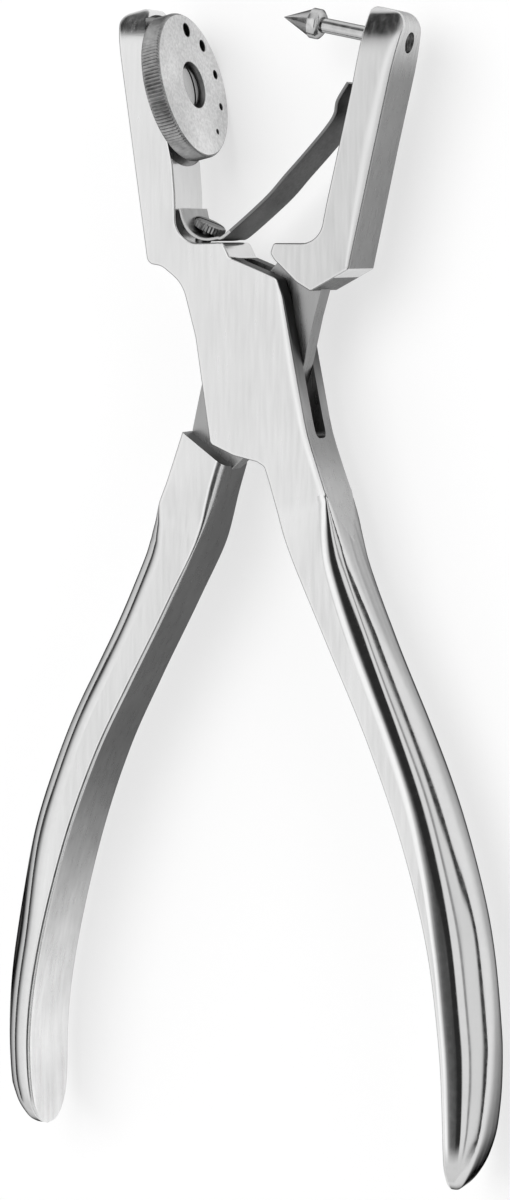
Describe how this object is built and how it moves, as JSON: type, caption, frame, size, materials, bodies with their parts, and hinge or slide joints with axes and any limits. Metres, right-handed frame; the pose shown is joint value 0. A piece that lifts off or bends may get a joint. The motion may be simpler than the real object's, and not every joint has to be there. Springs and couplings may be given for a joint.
{
  "type": "rubber dam punch",
  "caption": "Plier-like punch with a box joint: a cone-pointed punch on one jaw closes on a turning die wheel on the other; a leaf spring opens it.",
  "frame": {"origin": "on the pivot's axis, at the back face of the box, where the pivot pin's flush end lies", "axes": "+X from the wheel's jaw to the punch's arm, +Y along the tool towards the jaws, +Z out of the front face"},
  "size_m": [0.0784, 0.1691, 0.0214],
  "materials": {
    "forged_satin": "satin",
    "blasted_steel": "matte",
    "bright_steel": "polished",
    "spring_steel": "satin",
    "dark_steel": "satin"
  },
  "bodies": {
    "wheel_side": {"wheel_side_half": "forged_satin", "pivot_pin": "forged_satin", "wheel_screw": "bright_steel", "wheel_washer": "spring_steel", "index_ball": "bright_steel", "index_spring": "spring_steel", "spring_screw": "dark_steel"},
    "wheel": {"die_wheel": "blasted_steel"},
    "punch_side": {"punch_side_half": "forged_satin", "punch_point": "bright_steel", "punch_shank": "bright_steel", "shank_lock_screw": "dark_steel"},
    "leaf": {"return_spring": "spring_steel"}
  },
  "joints": [
    {"name": "jaw_pivot", "type": "hinge", "parent": "wheel_side", "child": "punch_side", "pos_m": [0, 0, 0.0047], "axis": [0, 0, 1], "range_deg": [0, 18.7], "stiffness_Nm_per_rad": 1.2, "springref_deg": -6.88},
    {"name": "wheel_turn", "type": "hinge", "parent": "wheel_side", "child": "wheel", "pos_m": [-0.0117, 0.0396, 0.0047], "axis": [0.9744, 0.225, 0], "continuous": true},
    {"name": "spring_flex", "type": "hinge", "parent": "wheel_side", "child": "leaf", "pos_m": [-0.002, 0.02, 0.0047], "axis": [0, 0, 1], "range_deg": [0, 34.8], "deforming": ["return_spring"]}
  ],
  "couplings": [
    {"joint": "spring_flex", "follows": "jaw_pivot", "ratio": 1.85}
  ]
}
